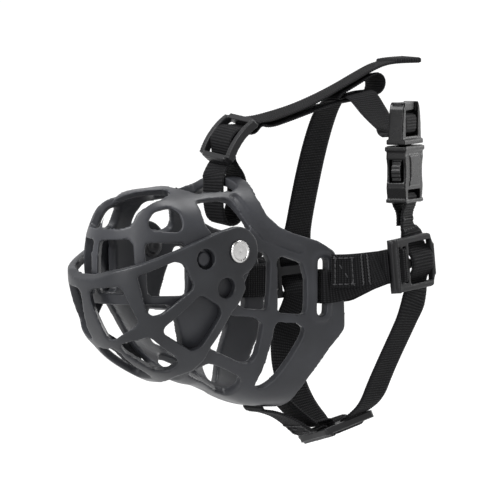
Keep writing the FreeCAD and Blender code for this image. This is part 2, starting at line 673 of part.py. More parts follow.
def prong(sign):
    """One springy prong, with a push button swelling near its free end."""
    outline = [(prong_x[1], -prong_gap), (prong_x[1], -prong_length + 2.4),
               (prong_x[1] - 2.2, -prong_length), (prong_x[0] - 0.9, -prong_length),
               (prong_x[0] - 0.9, -prong_length + 6.0), (prong_x[0], -5.0),
               (prong_x[0], -prong_gap)]
    body = Part.Face(rounded_outline([(sign * x, y) for x, y in outline], 0.6))
    body = body.extrude(Vector(0, 0, 4.6))
    body.translate(Vector(0, 0, -2.3))
    return in_frame(body, buckle)


parts = {}


def add(name, shape):
    parts[name] = shape


add("basket_shell", basket_shell())
add("front_guard", front_guard())
for side_name in ("left", "right"):
    add("rivet_" + side_name, rivet(side_name))
    add("rivet_washer_" + side_name, washer(side_name))
add("side_slider_left", cross_slider(near_slider))
add("side_slider_right", cross_slider(far_slider))
add("chin_slider", cross_slider(chin_slider))
add("forehead_slider", glide(head_glide))
add("side_strap_left", side_strap(near_slider, "left"))
add("side_strap_right", side_strap(far_slider, "right"))
add("forehead_strap", forehead_strap())
add("chin_strap", chin_strap())
add("collar_strap_near", collar_near())
add("collar_strap_far", collar_far())
add("collar_strap_upper", collar_upper())
add("buckle_female", buckle_female())
add("buckle_male", buckle_male())
add("buckle_prong_front", prong(-1))
add("buckle_prong_rear", prong(1))

os.makedirs("parts", exist_ok=True)
for name, shape in parts.items():
    volume = sum(solid.Volume for solid in shape.Solids)
    print(name, "solids", len(shape.Solids), "valid", shape.isValid(), "volume", round(volume, 1))
    shape.exportStep("parts/" + name + ".step")
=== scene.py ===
import math

import bmesh
import bpy
from mathutils import Matrix, Vector


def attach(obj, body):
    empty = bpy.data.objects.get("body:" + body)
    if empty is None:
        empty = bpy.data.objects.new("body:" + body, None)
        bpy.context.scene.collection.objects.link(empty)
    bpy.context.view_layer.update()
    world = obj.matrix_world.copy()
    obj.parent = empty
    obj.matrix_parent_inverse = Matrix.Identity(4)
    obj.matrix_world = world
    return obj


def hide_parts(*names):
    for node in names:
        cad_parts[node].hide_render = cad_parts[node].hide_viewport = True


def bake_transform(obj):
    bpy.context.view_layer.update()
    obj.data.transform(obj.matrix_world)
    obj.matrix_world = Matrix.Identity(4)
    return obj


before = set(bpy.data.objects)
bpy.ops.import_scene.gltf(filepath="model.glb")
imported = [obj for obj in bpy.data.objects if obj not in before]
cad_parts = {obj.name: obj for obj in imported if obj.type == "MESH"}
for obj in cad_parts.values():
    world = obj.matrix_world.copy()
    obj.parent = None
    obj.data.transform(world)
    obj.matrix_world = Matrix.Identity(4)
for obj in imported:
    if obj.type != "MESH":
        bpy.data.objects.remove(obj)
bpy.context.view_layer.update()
mm = 0.001

# ---- driving dimensions, in millimetres as in the CAD model -----------------------------
web_width = 15.0
web_thickness = 1.5
web_gap = 0.35                  # room between webbing and whatever it passes
layer_gap = 0.3                 # room between two layers of webbing
rib_pitch = 1.3
rib_height = 0.11
strap_step = 0.26               # spacing of the rings a strap is built from
hem_length = 14.0
slider_thickness = 3.0
hinge_height = 1.8
guard_face = 37.12              # half width over the guard's discs, where the rivet heads sit
rivet_head_height = 1.7
shell_face = 33.0
shell_wall = 4.0
washer_thickness = 0.8
ear_height = -15.6              # middle of the ear slots
glide_bar_top = 2.4
strap_over = slider_thickness + web_gap + web_thickness / 2
collar_x = 4.55                 # middle of the collar webbing in a cross slider
rod_x = (-9.3, -7.3)            # the rod that a side strap wraps
stitch_box = 5.8                # half width of a sewn box
thread_sides = 6


# ---- small mesh helpers ------------------------------------------------------------------
def piece(name, vertices, faces, material):
    mesh = bpy.data.meshes.new(name)
    mesh.from_pydata([tuple(v) for v in vertices], [], faces)
    mesh.validate()
    obj = bpy.data.objects.new(name, mesh)
    bpy.context.scene.collection.objects.link(obj)
    mesh.materials.append(material)
    mesh.shade_smooth()
    return obj


def face_outward(obj, merge=False):
    """Turns every face outward, and can first merge the points that coincide."""
    grid = bmesh.new()
    grid.from_mesh(obj.data)
    if merge:
        bmesh.ops.remove_doubles(grid, verts=grid.verts, dist=1e-7)
        bmesh.ops.dissolve_degenerate(grid, edges=grid.edges, dist=1e-7)
    bmesh.ops.recalc_face_normals(grid, faces=grid.faces)
    grid.to_mesh(obj.data)
    grid.free()


def soften(obj, voxel, rounds):
    """Closes the mesh into small even cells and rounds its edges, as a moulding's are."""
    remesh = obj.modifiers.new("cells", "REMESH")
    remesh.mode = "VOXEL"
    remesh.voxel_size = voxel * mm
    smooth = obj.modifiers.new("rounding", "SMOOTH")
    smooth.factor = 0.5
    smooth.iterations = rounds
    shown = bpy.context.evaluated_depsgraph_get()
    mesh = bpy.data.meshes.new_from_object(obj.evaluated_get(shown))
    obj.modifiers.clear()
    obj.data = mesh
    mesh.shade_smooth()


def finish_piece(obj, body, slot, *nodes):
    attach(obj, body)
    if nodes:
        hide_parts(*nodes)
    return obj


class Place:
    """A local frame: x along, y across, z outward, with its centre in millimetres."""

    def __init__(self, centre, along, across):
        self.centre = Vector(centre)
        self.x = Vector(along).normalized()
        y = Vector(across)
        self.y = (y - self.x * y.dot(self.x)).normalized()
        self.z = self.x.cross(self.y)

    def at(self, x, y, z):
        return self.centre + self.x * x + self.y * y + self.z * z


near_slider = Place((89.0, -43.6, -5.7), (0.97, 0.24, 0.1), (-0.1, 0, 1))
far_slider = Place((87.0, 45.5, -13.0), (0.97, -0.24, 0.1), (-0.1, 0, -1))
chin_slider = Place((81.5, 0.6, -79.0), (0.96, 0, 0.28), (0, -0.97, 0.22))
head_glide = Place((22.6, 0, 49.0), (0, -1, -0.1), (0.62, 0, 0.785))
buckle = Place((90.0, -38.8, 46.8), (0.83, 0.56, 0), (0, 0, 1))


# ---- materials ---------------------------------------------------------------------------
def material_base(name, color, roughness, metallic=0.0):
    material = bpy.data.materials.new(name)
    material.use_nodes = True
    nodes = material.node_tree.nodes
    links = material.node_tree.links
    shader = nodes["Principled BSDF"]
    shader.inputs["Base Color"].default_value = (*color, 1)
    shader.inputs["Roughness"].default_value = roughness
    shader.inputs["Metallic"].default_value = metallic
    return material, nodes, links, shader


def noise_node(nodes, links, scale, detail=2.0):
    """Noise in object space; scale counts its cells in a metre."""
    place = nodes.new("ShaderNodeTexCoord")
    texture = nodes.new("ShaderNodeTexNoise")
    texture.inputs["Scale"].default_value = scale
    texture.inputs["Detail"].default_value = detail
    links.new(place.outputs["Object"], texture.inputs["Vector"])
    return texture.outputs["Fac"]


def ramp(nodes, links, source, low, high, start=0.3, stop=0.7):
    """A source value spread over two colours or two grey levels."""
    node = nodes.new("ShaderNodeValToRGB")
    for element, value, place in zip(node.color_ramp.elements, (low, high), (start, stop)):
        element.color = (*value, 1) if isinstance(value, tuple) else (value, value, value, 1)
        element.position = place
    links.new(source, node.inputs["Fac"])
    return node.outputs["Color"]


def bump(nodes, links, height, strength, distance, under=None):
    node = nodes.new("ShaderNodeBump")
    node.inputs["Strength"].default_value = strength
    node.inputs["Distance"].default_value = distance * mm
    links.new(height, node.inputs["Height"])
    if under is not None:
        links.new(under, node.inputs["Normal"])
    return node.outputs["Normal"]


def moulded(name, dark, light, rough_low, rough_high, grain_scale, grain_depth,
            gloss=0.22):
    """Moulded plastic: faint flow clouds in the colour, a fine grain, and edges painted lighter,
    partly as scuffing and partly as a painted highlight.
    """
    material, nodes, links, shader = material_base(name, light, rough_high)
    clouds = noise_node(nodes, links, 45, 4)
    body = ramp(nodes, links, clouds, dark, light)
    # Painted highlight with some scuffing: pointy edges get a lighter base colour, standing in
    # for the bright lines light draws on rounded lips.
    edge_wear_and_highlight = nodes.new("ShaderNodeNewGeometry")
    edge = ramp(nodes, links, edge_wear_and_highlight.outputs["Pointiness"], 0.0, 1.0, 0.52, 0.62)
    mix = nodes.new("ShaderNodeMix")
    mix.data_type = "RGBA"
    links.new(edge, mix.inputs["Factor"])
    links.new(body, mix.inputs["A"])
    mix.inputs["B"].default_value = (*[min(1, c * 1.7) for c in light], 1)
    links.new(mix.outputs["Result"], shader.inputs["Base Color"])
    patches = noise_node(nodes, links, 130, 3)
    links.new(ramp(nodes, links, patches, rough_low, rough_high), shader.inputs["Roughness"])
    grain = noise_node(nodes, links, grain_scale, 2)
    links.new(bump(nodes, links, grain, 0.35, grain_depth), shader.inputs["Normal"])
    shader.inputs["Specular IOR Level"].default_value = gloss
    return material


def nickel_finish():
    material, nodes, links, shader = material_base("nickel", (0.46, 0.455, 0.45), 0.26, 1.0)
    smudges = noise_node(nodes, links, 600, 4)
    links.new(ramp(nodes, links, smudges, 0.16, 0.38), shader.inputs["Roughness"])
    scratches = noise_node(nodes, links, 2400, 2)
    links.new(bump(nodes, links, scratches, 0.05, 0.006), shader.inputs["Normal"])
    return material


def dark_metal_finish():
    material, nodes, links, shader = material_base("dark_metal", (0.03, 0.03, 0.032), 0.4, 0.8)
    smudges = noise_node(nodes, links, 700, 3)
    links.new(ramp(nodes, links, smudges, 0.3, 0.5), shader.inputs["Roughness"])
    return material


def attribute(nodes, name):
    node = nodes.new("ShaderNodeAttribute")
    node.attribute_name = name
    return node.outputs["Fac"]


def math_node(nodes, links, operation, a, b=None, c=None):
    node = nodes.new("ShaderNodeMath")
    node.operation = operation
    for socket, value in zip(node.inputs, (a, b, c)):
        if value is None:
            continue
        if isinstance(value, (int, float)):
            socket.default_value = value
        else:
            links.new(value, socket)
    return node.outputs[0]


def wave(nodes, links, source, pitch, shift=0.0):
    """A cosine of a length in millimetres, from 0 to 1."""
    turns = math_node(nodes, links, "MULTIPLY_ADD", source, 2 * math.pi / pitch, shift)
    cosine = math_node(nodes, links, "COSINE", turns)
    return math_node(nodes, links, "MULTIPLY_ADD", cosine, 0.5, 0.5)


def webbing_finish():
    """Black polypropylene webbing: cross ribs, lengthwise yarns, a matte sheen, and rib crests
    painted lighter as a painted highlight.
    """
    material, nodes, links, shader = material_base("webbing", (0.014, 0.014, 0.016), 0.62)
    along = attribute(nodes, "along")
    across = attribute(nodes, "across")
    ribs = wave(nodes, links, along, rib_pitch)
    yarns = wave(nodes, links, across, 0.94)
    twist = math_node(nodes, links, "MULTIPLY_ADD", across, 3.2, along)
    strands = wave(nodes, links, twist, 0.33)
    high = math_node(nodes, links, "MULTIPLY", ribs, yarns)
    fuzz = noise_node(nodes, links, 5200, 2)
    # Random fuzz tone plus a painted highlight: the rib crests get a lighter base colour, as if
    # light catches their tips.
    fuzz_and_crest_highlight = math_node(nodes, links, "MULTIPLY_ADD", fuzz, 0.6, high)
    color = ramp(nodes, links, fuzz_and_crest_highlight, (0.0006, 0.0006, 0.0008), (0.010, 0.010, 0.011), 0.15, 1.3)
    links.new(color, shader.inputs["Base Color"])
    links.new(ramp(nodes, links, high, 0.75, 0.5, 0.1, 0.9), shader.inputs["Roughness"])
    first = bump(nodes, links, high, 0.7, 0.12)
    second = bump(nodes, links, strands, 0.35, 0.05, first)
    links.new(second, shader.inputs["Normal"])
    shader.inputs["Specular IOR Level"].default_value = 0.09
    return material


def thread_finish():
    material, nodes, links, shader = material_base("thread", (0.012, 0.012, 0.013), 0.6)
    twist = noise_node(nodes, links, 3800, 2)
    links.new(ramp(nodes, links, twist, (0.006, 0.006, 0.007), (0.02, 0.02, 0.022)),
              shader.inputs["Base Color"])
    links.new(bump(nodes, links, twist, 0.4, 0.06), shader.inputs["Normal"])
    return material


shell_look = moulded("shell_rubber", (0.015, 0.0155, 0.018), (0.026, 0.027, 0.031),
                     0.36, 0.46, 2600, 0.03)
guard_look = moulded("guard_rubber", (0.012, 0.0125, 0.0145), (0.021, 0.022, 0.025),
                     0.34, 0.44, 2600, 0.03)
slider_look = moulded("slider_acetal", (0.006, 0.006, 0.0065), (0.010, 0.010, 0.011),
                      0.36, 0.48, 5200, 0.04)
buckle_look = moulded("buckle_acetal", (0.0015, 0.0015, 0.0017), (0.003, 0.003, 0.0034),
                      0.22, 0.30, 3800, 0.012, 0.13)
prong_look = moulded("prong_acetal", (0.002, 0.002, 0.0022), (0.004, 0.004, 0.0044),
                     0.14, 0.22, 3800, 0.012, 0.18)
nickel = nickel_finish()
dark_metal = dark_metal_finish()
webbing = webbing_finish()
thread = thread_finish()


# ---- shell and guard ---------------------------------------------------------------------
def block(place, outline, low, high):
    """A prism in a place: an outline in x and y, from height low to high."""
    count = len(outline)
    vertices = [place.at(x, y, z) * mm for z in (low, high) for x, y in outline]
    faces = [tuple(reversed(range(count))), tuple(range(count, 2 * count))]
    for k in range(count):
        n = (k + 1) % count
        faces.append((k, n, count + n, count + k))
    return vertices, faces


def slab(place, x, y, z):
    return block(place, [(x[0], y[0]), (x[1], y[0]), (x[1], y[1]), (x[0], y[1])], z[0], z[1])


def moulding(name, node, material, body, slot, cell=0.62, rounds=7, extras=(), copy=True):
    """The CAD moulding and any extra blocks grown into one, with every edge rounded."""
    grid = bmesh.new()
    if copy:
        grid.from_mesh(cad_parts[node].data)
    for vertices, faces in extras:
        corners = [grid.verts.new(v) for v in vertices]
        for face in faces:
            grid.faces.new([corners[k] for k in face])
    mesh = bpy.data.meshes.new(name)
    grid.to_mesh(mesh)
    grid.free()
    mesh.materials.append(material)
    obj = bpy.data.objects.new(name, mesh)
    bpy.context.scene.collection.objects.link(obj)
    soften(obj, cell, rounds)
    return finish_piece(obj, body, slot, node)


moulding("shell", "basket_shell", shell_look, "root", "basket_moulding")
moulding("guard", "front_guard", guard_look, "guard", "guard_moulding")


# ---- sliders and buckle ------------------------------------------------------------------
def slider_body(name, node, place):
    """A cross slider, with a rounded crown along its middle bar and its right end."""
    crown = [slab(place, (-3.2, 12.3), (-1.2, 1.2), (2.8, 3.3)),
             slab(place, (12.6, 14.2), (-7.0, 7.0), (2.8, 3.5)),
             slab(place, (-14.3, 12.5), (10.0, 11.4), (2.8, 3.3)),
             slab(place, (-14.3, 12.5), (-11.4, -10.0), (2.8, 3.3))]
    return moulding(name, node, slider_look, "root", "slider_plastic", 0.28, 5, crown)


def wedge_ring(place, half_width, y_low, y_high, depth):
    """Four slabs that form a collar round a buckle half."""
    w = half_width
    return [slab(place, (-w, w), (y_low, y_high), (depth - 0.9, depth)),
            slab(place, (-w, w), (y_low, y_high), (-depth, 0.9 - depth)),
            slab(place, (-w, 1.2 - w), (y_low, y_high), (-depth, depth)),
            slab(place, (w - 1.2, w), (y_low, y_high), (-depth, depth))]


def female_half():
    extras = wedge_ring(buckle, 12.5, -2.6, -0.5, 5.1)
    extras += wedge_ring(buckle, 11.4, -25.6, -24.0, 4.9)
    plate = [(-6.5, -4.5), (6.5, -4.5), (5.2, -8), (5.2, -14), (6.8, -18), (-6.8, -18),
             (-5.2, -14), (-5.2, -8)][::-1]
    extras += [block(buckle, plate, 4.2, 4.95), block(buckle, plate, -4.95, -4.2)]
    for side in (-1, 1):
        lip = sorted((side * 11.9, side * 9.6))
        extras.append(slab(buckle, lip, (-18.6, -16.6), (-4.3, 4.3)))
        extras.append(slab(buckle, lip, (-6.2, -4.6), (-4.6, 4.6)))
    return moulding("buckle_socket", "buckle_female", buckle_look, "root", "buckle_plastic",
                    0.24, 11, extras)


def male_half():
    """The ladder half: a collar, two rails that taper upward, three bars and the tongue."""
    blocks = wedge_ring(buckle, 12.4, 0.3, 2.6, 4.4)
    blocks.append(slab(buckle, (-11.5, 11.5), (0.3, 4.0), (-3.3, 3.3)))
    rail = [(12.3, 0.5), (12.25, 5.0), (12.0, 9.0), (11.5, 12.5), (10.7, 15.8), (9.6, 18.2),
            (8.1, 19.4), (8.1, 0.5)]
    blocks.append(block(buckle, rail, -3.5, 3.5))
    blocks.append(block(buckle, [(-x, y) for x, y in reversed(rail)], -3.5, 3.5))
    blocks.append(slab(buckle, (-9.0, 9.0), (7.6, 11.6), (-1.5, 1.5)))
    blocks.append(slab(buckle, (-9.8, 9.8), (15.2, 19.0), (-2.1, 2.1)))
    blocks.append(slab(buckle, (-3.0, 3.0), (-15.0, 0.5), (-2.0, 2.0)))
    return moulding("buckle_ladder", "buckle_male", buckle_look, "buckle_male",
                    "buckle_plastic", 0.24, 16, blocks, False)


def prong_body(name, node, body, side):
    """A prong whose end swells into a ribbed push button."""
    swell = []
    for k, reach in enumerate((11.0, 11.8, 12.2, 11.8, 11.0)):
        x = sorted((side * 8.6, side * reach))
        y = -15.2 + 1.8 * k
        swell.append(slab(buckle, x, (y - 0.75, y + 0.75), (-2.2, 2.2)))
    return moulding(name, node, prong_look, body, "buckle_plastic", 0.2, 3, swell)


def glide_body():
    """The arched glide: end plates a little prouder, and rails that follow the arch."""
    extras = []
    for side in (-1, 1):
        end = sorted((side * 9.2, side * 11.7))
        extras.append(slab(head_glide, (-8.2, 8.2), end, (-1.0, 3.3)))
        rail = sorted((side * 8.3, side * 11.2))
        for k in range(17):
            y = -9.6 + 1.2 * k
            arch = 2.6 * (1 - (y / 12.0) ** 2)
            extras.append(slab(head_glide, rail, (y - 0.9, y + 0.9), (arch - 1.0, arch + 2.6)))
    return moulding("glide", "forehead_slider", slider_look, "root", "slider_plastic",
                    0.26, 8, extras)


slider_body("slider_near", "side_slider_left", near_slider)
slider_body("slider_far", "side_slider_right", far_slider)
slider_body("slider_chin", "chin_slider", chin_slider)
glide_body()
female_half()
male_half()
prong_body("prong_front_button", "buckle_prong_front", "prong_front", -1)
prong_body("prong_rear_button", "buckle_prong_rear", "prong_rear", 1)


# ---- turned metal parts ------------------------------------------------------------------
def turned(name, outline, side, material, steps=72):
    """Turns a closed outline of (radius, height) about the hinge axis; height runs outward."""
    vertices = []
    faces = []
    count = len(outline)
    for i in range(steps):
        angle = 2 * math.pi * i / steps
        for radius, height in outline:
            spot = Vector((radius * math.cos(angle), -height,
                           hinge_height + radius * math.sin(angle)))
            vertices.append(spot * mm)
    for i in range(steps):
        n = (i + 1) % steps
        for k in range(count):
            m = (k + 1) % count
            faces.append((i * count + k, i * count + m, n * count + m, n * count + k))
    obj = piece(name, vertices, faces, material)
    face_outward(obj, merge=True)
    if side == "right":
        obj.data.transform(Matrix.Scale(-1, 4, (0, 1, 0)))
        obj.data.flip_normals()
    return obj


def arc_points(centre, radius, start, stop, count):
    rows = []
    for i in range(count + 1):
        angle = math.radians(start + (stop - start) * i / count)
        rows.append((centre[0] + radius * math.cos(angle), centre[1] + radius * math.sin(angle)))
    return rows


def rivet(side):
    face = guard_face
    inside = shell_face - shell_wall - washer_thickness - 0.1
    top = face + rivet_head_height
    outline = [(0.0, top - 0.75), (0.25, top - 0.7), (0.45, top - 0.45), (0.7, top - 0.36),
               (2.2, top - 0.45), (3.2, top - 0.6), (3.55, top - 0.62), (3.75, top - 0.5)]
    outline += arc_points((4.2, top - 0.35), 0.35, 160, 20, 5)
    outline += arc_points((4.6, top - 0.75), 0.4, 50, -20, 4)
    outline += [(5.0, face + 0.35), (4.8, face), (2.25, face), (2.25, inside + 0.2),
                (0.0, inside + 0.2)]
    obj = turned("rivet_head_" + side, outline, side, nickel)
    return finish_piece(obj, "root", "nickel", "rivet_" + side)


def washer(side):
    """The washer inside the shell, with the cap that covers the rivet's tail, both in a dark
    metal finish.
    """
    outer = shell_face - shell_wall - 0.05
    inner = outer - washer_thickness
    outline = [(0.0, inner - 0.85), (1.0, inner - 0.9), (1.5, inner - 1.2), (2.8, inner - 1.2),
               (3.4, inner - 0.9), (3.6, inner - 0.3), (3.6, inner), (4.85, inner),
               (5.0, inner + 0.12), (5.0, outer - 0.12), (4.85, outer), (2.45, outer),
               (2.45, inner + 0.3), (0.0, inner + 0.3)]
    obj = turned("washer_" + side, outline, side, dark_metal)
    return finish_piece(obj, "root", "nickel", "rivet_washer_" + side)


for side_name in ("left", "right"):
    rivet(side_name)
    washer(side_name)


# ---- webbing -----------------------------------------------------------------------------
def rounded_route(stations, tight=2.2, gentle=40.0):
    """A fine route through (point, across) stations: sharp turns get short curves, gentle
    ones a curve from the middle of one run to the middle of the next."""
    rows = [stations[0]]
    for before, here, after in zip(stations, stations[1:], stations[2:]):
        back = before[0] - here[0]
        ahead = after[0] - here[0]
        turn = 180.0 - math.degrees(back.angle(ahead))
        cap = tight if turn > gentle else 1000.0
        share_back = min(0.5, cap / back.length)
        share_ahead = min(0.5, cap / ahead.length)
        start = (here[0] + back * share_back, here[1].lerp(before[1], share_back))
        stop = (here[0] + ahead * share_ahead, here[1].lerp(after[1], share_ahead))
        steps = 10
        for i in range(steps + 1):
            t = i / steps
            point = start[0] * (1 - t) ** 2 + here[0] * (2 * t * (1 - t)) + stop[0] * t**2
            across = start[1] * (1 - t) ** 2 + here[1] * (2 * t * (1 - t)) + stop[1] * t**2
            rows.append((point, across))
    rows.append(stations[-1])
    return rows


def resampled(rows, step):
    """The route at even steps: lists of points, across directions and distances."""
    lengths = [0.0]
    for a, b in zip(rows, rows[1:]):
        lengths.append(lengths[-1] + (b[0] - a[0]).length)
    count = max(2, int(round(lengths[-1] / step)))
    result = []
    k = 0
    for i in range(count + 1):
        target = lengths[-1] * i / count
        while k < len(rows) - 2 and lengths[k + 1] < target:
            k += 1
        span = max(lengths[k + 1] - lengths[k], 1e-9)
        t = min(max((target - lengths[k]) / span, 0.0), 1.0)
        result.append((rows[k][0].lerp(rows[k + 1][0], t), rows[k][1].lerp(rows[k + 1][1], t),
                       target))
    return result


def strap_frames(stations):
    """Local frames along a strap: point, across, outward normal, distance."""
    route = resampled(rounded_route(stations), strap_step)
    frames = []
    last = len(route) - 1
    for i, (point, across, distance) in enumerate(route):
        low = route[max(i - 2, 0)][0]
        high = route[min(i + 2, last)][0]
        along = (high - low).normalized()
        wide = (across - along * across.dot(along)).normalized()
        frames.append((point, wide, along.cross(wide), distance))
    return frames


def strap(name, stations, body, *nodes, hem=0.0):
    """Ribbed webbing with rounded selvedges. A hem thickens the last stretch."""
    frames = strap_frames(stations)
    columns = 14
    half_width = web_width / 2
    vertices = []
    along_values = []
    across_values = []
    total = frames[-1][3]
    for point, wide, normal, distance in frames:
        ring = []
        extra = hem if total - distance < hem_length and hem else 0.0
        for face in (1, -1):
            for c in range(columns + 1):
                x = half_width * (1 - 2 * c / columns) * face
                side = abs(x) / half_width
                edge = 1.0 - 0.55 * max(0.0, (side - 0.86) / 0.14) ** 2
                parity = math.cos(2 * math.pi * x / 1.875)
                rib = rib_height * math.cos(2 * math.pi * distance / rib_pitch + 0.6 * parity)
                grow = extra if face < 0 else 0.0
                y = face * (web_thickness / 2 * edge - rib_height + rib * edge + grow)
                ring.append((x, y))
        for x, y in ring:
            vertices.append((point + wide * x + normal * y) * mm)
            along_values.append(distance)
            across_values.append(x)
    count = 2 * (columns + 1)
    faces = []
    rings = len(frames)
    for i in range(rings - 1):
        n = i + 1
        for k in range(count):
            m = (k + 1) % count
            faces.append((i * count + k, n * count + k, n * count + m, i * count + m))
    faces.append(tuple(range(count)))
    faces.append(tuple(reversed(range((rings - 1) * count, rings * count))))
    obj = piece(name, vertices, faces, webbing)
    for label, values in (("along", along_values), ("across", across_values)):
        data = obj.data.attributes.new(label, "FLOAT", "POINT")
        data.data.foreach_set("value", values)
    face_outward(obj)
    return finish_piece(obj, body, "webbing", *nodes), frames


def weave(place, x_side, middle, slope, length):
    """Stations behind a slider's end bars and over its middle bar."""
    low = -web_thickness / 2 - web_gap
    rows = [(length, low), (slope, low), (middle, strap_over), (-middle, strap_over),
            (-slope, low), (-length, low)]
    return [(place.at(x_side, y, z), place.x) for y, z in rows]


def rod_wrap(place):
    """Webbing round a slider's rod: in behind the left bar, over the rod, back out."""
    half = web_thickness / 2
    left = rod_x[0] - web_gap - half
    right = rod_x[1] + web_gap + half
    front_layer = -web_gap - half
    back_layer = front_layer - web_thickness - layer_gap
    rows = [(-18.0, front_layer), (left, front_layer), (left, strap_over),
            (right, strap_over), (right, back_layer), (-15.5, back_layer - 1.2)]
    return [(place.at(x, 0, z), place.y) for x, z in rows]


def halfway(a, b):
    return ((a[0] + b[0]) / 2, ((a[1] + b[1]) / 2).normalized())


def side_strap(place, side):
    sign = -1 if side == "left" else 1
    up = Vector((0, 0, 1))
    wrap = rod_wrap(place)
    if side == "right":
        wrap = [(point, across * -1) for point, across in wrap]
    z = ear_height
    y_out = shell_face + 0.8 + web_gap + web_thickness / 2
    y_in = shell_face - shell_wall - web_gap - web_thickness / 2 - 1.7
    rows = [(57.0, y_out + 1.6, z + 1.2), (52.6, y_out + 0.2, z + 0.3), (48.8, y_out, z),
            (48.8, y_in, z), (54, y_in, z), (66.5, y_in + 0.6, z)]
    ear = [(Vector((x, sign * y, height)), up) for x, y, height in rows]
    stations = [wrap[0]] + ear
    stations += [halfway(wrap[-1], ear[-1])] + wrap[::-1][:5] + [wrap[0]]
    strap("side_webbing_" + side, stations, "root", "side_strap_" + side)
    # The strap's sewn-down end lies on top.
    flip = -1 if side == "right" else 1
    end = Vector((51.0, sign * (y_out + 1.75), z + 7.0))
    middle = Vector((60.0, sign * (y_out + 5.3), z + 7.0))
    rise = 0.65
    patch = [(place.at(-15.3, 0.4 * flip, rise), place.y * flip), (middle, up), (end, up)]
    patch_frames = strap("side_patch_" + side, patch, "root")[1]
    length = patch_frames[-1][3]
    rows = box_stitches(length - 9.5, length - 1.5, stitch_box)
    rows += zigzag(9.0, 12.0, 6.0)
    stitching("side_thread_" + side, patch_frames, rows, Vector((0, sign, 0)))


def box_stitches(start, stop, half):
    """Stitch spots round a box and on its diagonal: (distance, x, slope in degrees)."""
    spots = []
    count = int((stop - start) / 2.6)
    for i in range(count + 1):
        t = i / count
        d = start + (stop - start) * t
        spots += [(d, -half, 0.0), (d, half, 0.0), (d, half * (2 * t - 1), 60.0)]
    for k in range(5):
        x = half * (-0.8 + 0.4 * k)
        spots += [(start, x, 90.0), (stop, x, 90.0)]
    return spots


def zigzag(start, stop, half):
    """Close slanted stitches, as a bar tack has."""
    spots = []
    for k in range(9):
        x = half * (-1 + 2 * k / 8)
        spots += [(start, x, 70.0), (stop, x, 110.0)]
    return spots


# One stitch: (place along it, height over the webbing, radius) from end to end.
thread_rings = [(-1.15, -0.25, 0.14), (-0.8, 0.1, 0.26), (0.0, 0.2, 0.3), (0.8, 0.1, 0.26),
                (1.15, -0.25, 0.14)]


def stitching(name, frames, spots, toward):
    """Short raised threads on the face of a strap that looks toward a direction."""
    face = 1 if frames[len(frames) // 2][2].dot(toward) > 0 else -1
    vertices = []
    faces = []
    step = frames[1][3] - frames[0][3]
    for distance, x, slope in spots:
        k = min(max(int(round(distance / step)), 1), len(frames) - 2)
        point, wide, normal = frames[k][:3]
        along = (frames[k + 1][0] - frames[k - 1][0]).normalized()
        angle = math.radians(slope)
        run = along * math.cos(angle) + wide * math.sin(angle)
        side = normal.cross(run)
        out = normal * face
        middle = point + wide * x + out * (web_thickness / 2)
        first = len(vertices)
        for t, lift, radius in thread_rings:
            for turn in range(thread_sides):
                a = 2 * math.pi * turn / thread_sides
                spot = middle + run * t + out * (lift + radius * math.sin(a))
                vertices.append((spot + side * (radius * math.cos(a))) * mm)
        for ring in range(len(thread_rings) - 1):
            base = first + ring * thread_sides
            for turn in range(thread_sides):
                n = (turn + 1) % thread_sides
                faces.append((base + turn, base + n, base + thread_sides + n,
                              base + thread_sides + turn))
        faces.append(tuple(first + k for k in range(thread_sides)))
        end = first + (len(thread_rings) - 1) * thread_sides
        faces.append(tuple(end + k for k in reversed(range(thread_sides))))
    obj = piece(name, vertices, faces, thread)
    face_outward(obj)
    return finish_piece(obj, "root", "webbing")


def blended(table, x):
    """A straight-line reading of a table of (x, value)."""
    for low, high in zip(table, table[1:]):
        if x <= high[0]:
            t = max(0.0, (x - low[0]) / (high[0] - low[0]))
            return low[1] + (high[1] - low[1]) * t
    return table[-1][1]


def forehead_strap():
    """Keeper loop at the crown, glide, slack loop round the shell's bridge, glide, tail."""
    keeper = [(77.0, 66.0), (78.8, 68.0), (81.6, 69.2), (86, 71.2), (91, 73.6), (95.5, 75.8),
              (99.3, 76.8), (102.0, 75.2), (102.7, 71.9), (100.8, 68.4), (96.5, 67.0),
              (91, 66.0), (86, 65.2), (81.5, 64.6), (77, 64.1), (70, 62.9), (60, 60.4),
              (50, 57.9), (40, 55.6)]
    bridge = [(21.0, 39.2), (24.8, 34.6), (26.2, 28), (25.6, 20), (22.6, 13.8), (18.6, 12.0),
              (14.8, 13.6), (12.9, 19), (12.8, 27), (13.0, 33.0)]
    tail = [(40, 58.3), (50, 60.6), (60, 63.3), (70, 66.9), (78, 70.2), (86, 73.6), (92, 76.4),
            (98, 79.0), (104, 81.2), (111, 82.2), (122.5, 82.4)]
    low = -1.0 - web_gap - web_thickness / 2
    under = low - web_thickness - layer_gap
    over = glide_bar_top + web_gap + web_thickness / 2
    second_over = over + web_thickness + layer_gap
    first = [(13, under), (8.0, under), (2.6, over), (-2.6, over), (-7.5, under + 0.6)]
    second = [(-14.5, low), (-9.2, low + 0.3), (-3.2, second_over), (3.2, second_over),
              (9.0, low), (13, low)]
    roll = [(10, -0.1), (40, -0.1), (60, 0.0), (80, 0.12), (97, 0.13), (110, 0.02), (123, -0.02)]

    def rolled(points):
        return [(Vector((x, 0, z)), Vector((0, -1, blended(roll, x)))) for x, z in points]

    stations = rolled(keeper)
    stations += [(head_glide.at(0, y, z), head_glide.x) for y, z in first]
    stations += rolled(bridge)
    stations += [(head_glide.at(0, y, z), head_glide.x) for y, z in second]
    stations += rolled(tail)
    strap("forehead_webbing", stations, "root", "forehead_strap", hem=1.1)


